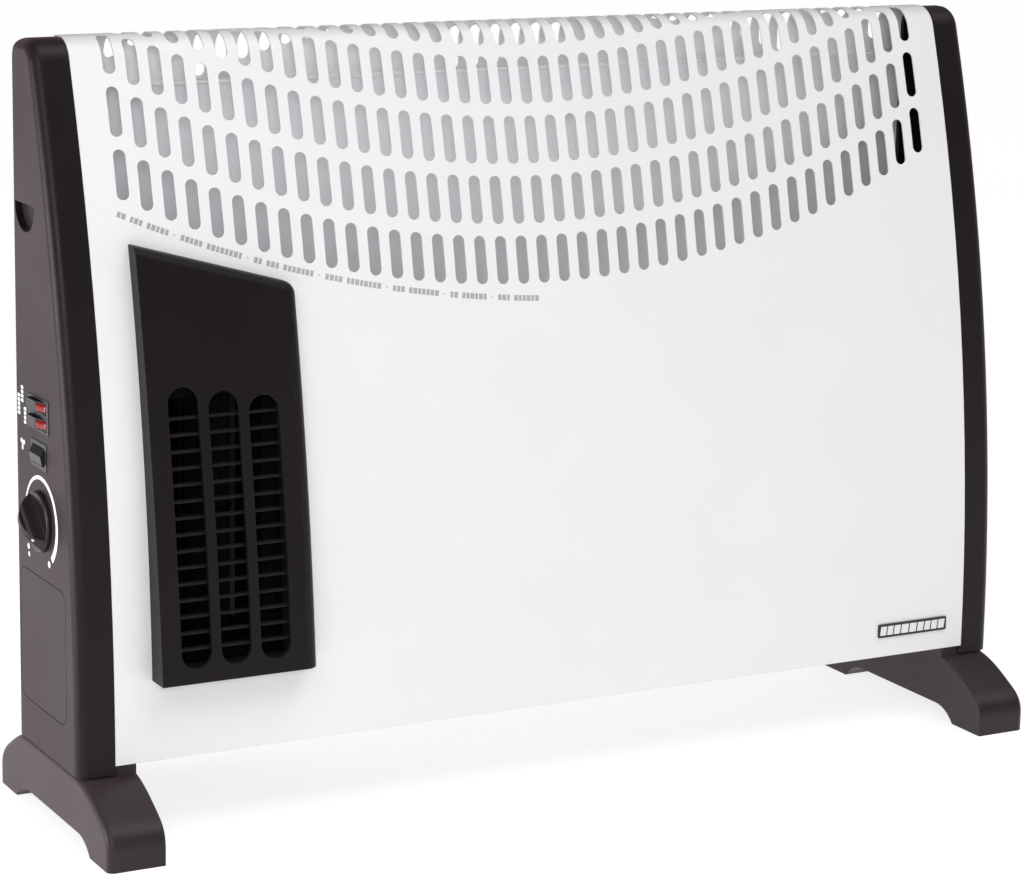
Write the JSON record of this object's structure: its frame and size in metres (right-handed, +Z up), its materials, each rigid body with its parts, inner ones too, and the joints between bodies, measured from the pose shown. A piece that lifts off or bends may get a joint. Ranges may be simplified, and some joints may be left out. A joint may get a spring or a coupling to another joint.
{
  "type": "fan convector heater",
  "caption": "Freestanding convector heater with a white slotted steel case, dark moulded end caps and feet, a front fan outlet, a thermostat knob and rocker switches.",
  "frame": {"origin": "on the floor, under the centre of the overall bounding box", "axes": "+X across the heater away from the control end, -Y towards the front, +Z up"},
  "size_m": [0.541, 0.1486, 0.3813],
  "materials": {
    "white_sheet": "powder-coated, low gloss",
    "rear_sheet": "powder-coated, low gloss",
    "housing_plastic": "fine satin grain",
    "outlet_plastic": "satin",
    "knob_plastic": "semi-gloss",
    "black_plastic": "semi-gloss",
    "slate_plastic": "semi-gloss",
    "red_lens": "gloss, translucent",
    "zinc_sheet": "zinc-plated",
    "screw_steel": "zinc-plated",
    "shaft_steel": "ground",
    "laminated_steel": "varnished laminations",
    "mica_board": "matt",
    "heating_ribbon": "oxidised",
    "coil_enamel": "enamelled copper winding",
    "phenolic": "matt",
    "nylon_white": "matt",
    "bearing_bronze": "sintered",
    "lead_brown": "silicone sleeve",
    "lead_blue": "silicone sleeve",
    "lead_green": "silicone sleeve",
    "badge_black": "printed, blank"
  },
  "bodies": {
    "case": {"badge_plate": "badge_black", "cord_gland": "black_plastic", "earth_lead": "lead_green", "element_board": "mica_board", "element_brackets": "zinc_sheet", "element_lead_live": "lead_brown", "element_lead_neutral": "lead_blue", "element_wire_front": "heating_ribbon", "element_wire_rear": "heating_ribbon", "fan_duct": "black_plastic", "fan_motor_lead": "lead_blue", "fan_outlet_cover": "outlet_plastic", "fan_switch_housing": "black_plastic", "foot_screws": "screw_steel", "front_panel": "white_sheet", "heat_shield": "zinc_sheet", "left_end_cap": "housing_plastic", "left_foot": "housing_plastic", "motor_bearings": "bearing_bronze", "motor_bridges": "zinc_sheet", "motor_coil": "coil_enamel", "motor_core": "laminated_steel", "motor_pillars": "zinc_sheet", "outlet_louvres": "outlet_plastic", "power_switch_1_housing": "black_plastic", "power_switch_2_housing": "black_plastic", "rear_panel": "rear_sheet", "rear_panel_screws": "screw_steel", "right_end_cap": "housing_plastic", "right_foot": "housing_plastic", "stub_bearing": "nylon_white", "terminal_block": "nylon_white", "thermal_cutout": "phenolic", "thermostat_body": "phenolic", "thermostat_nut": "screw_steel", "timer_blank_cover": "housing_plastic"},
    "thermostat_dial": {"thermostat_knob": "knob_plastic", "thermostat_spindle": "shaft_steel"},
    "power_button_1": {"power_rocker_1": "slate_plastic", "rocker_lens_1": "red_lens"},
    "power_button_2": {"power_rocker_2": "slate_plastic", "rocker_lens_2": "red_lens"},
    "fan_button": {"fan_rocker": "black_plastic"},
    "fan_rotor": {"fan_impeller": "black_plastic", "impeller_stub": "shaft_steel", "motor_shaft": "shaft_steel", "motor_rotor": "laminated_steel"}
  },
  "joints": [
    {"name": "thermostat_turn", "type": "hinge", "parent": "case", "child": "thermostat_dial", "pos_m": [-0.2595, 0.0079, 0.1512], "axis": [1, 0, 0], "range_deg": [-265, 9]},
    {"name": "power_rock_1", "type": "hinge", "parent": "case", "child": "power_button_1", "pos_m": [-0.2581, 0.0094, 0.2076], "axis": [0, 0, -1], "range_deg": [0, 18]},
    {"name": "power_rock_2", "type": "hinge", "parent": "case", "child": "power_button_2", "pos_m": [-0.2581, 0.0094, 0.1994], "axis": [0, 0, -1], "range_deg": [0, 18]},
    {"name": "fan_rock", "type": "hinge", "parent": "case", "child": "fan_button", "pos_m": [-0.2581, 0.0094, 0.1836], "axis": [0, -1, 0], "range_deg": [0, 18]},
    {"name": "fan_spin", "type": "hinge", "parent": "case", "child": "fan_rotor", "pos_m": [-0.1831, 0.01, 0.15], "axis": [0, 0, 1], "continuous": true}
  ]
}
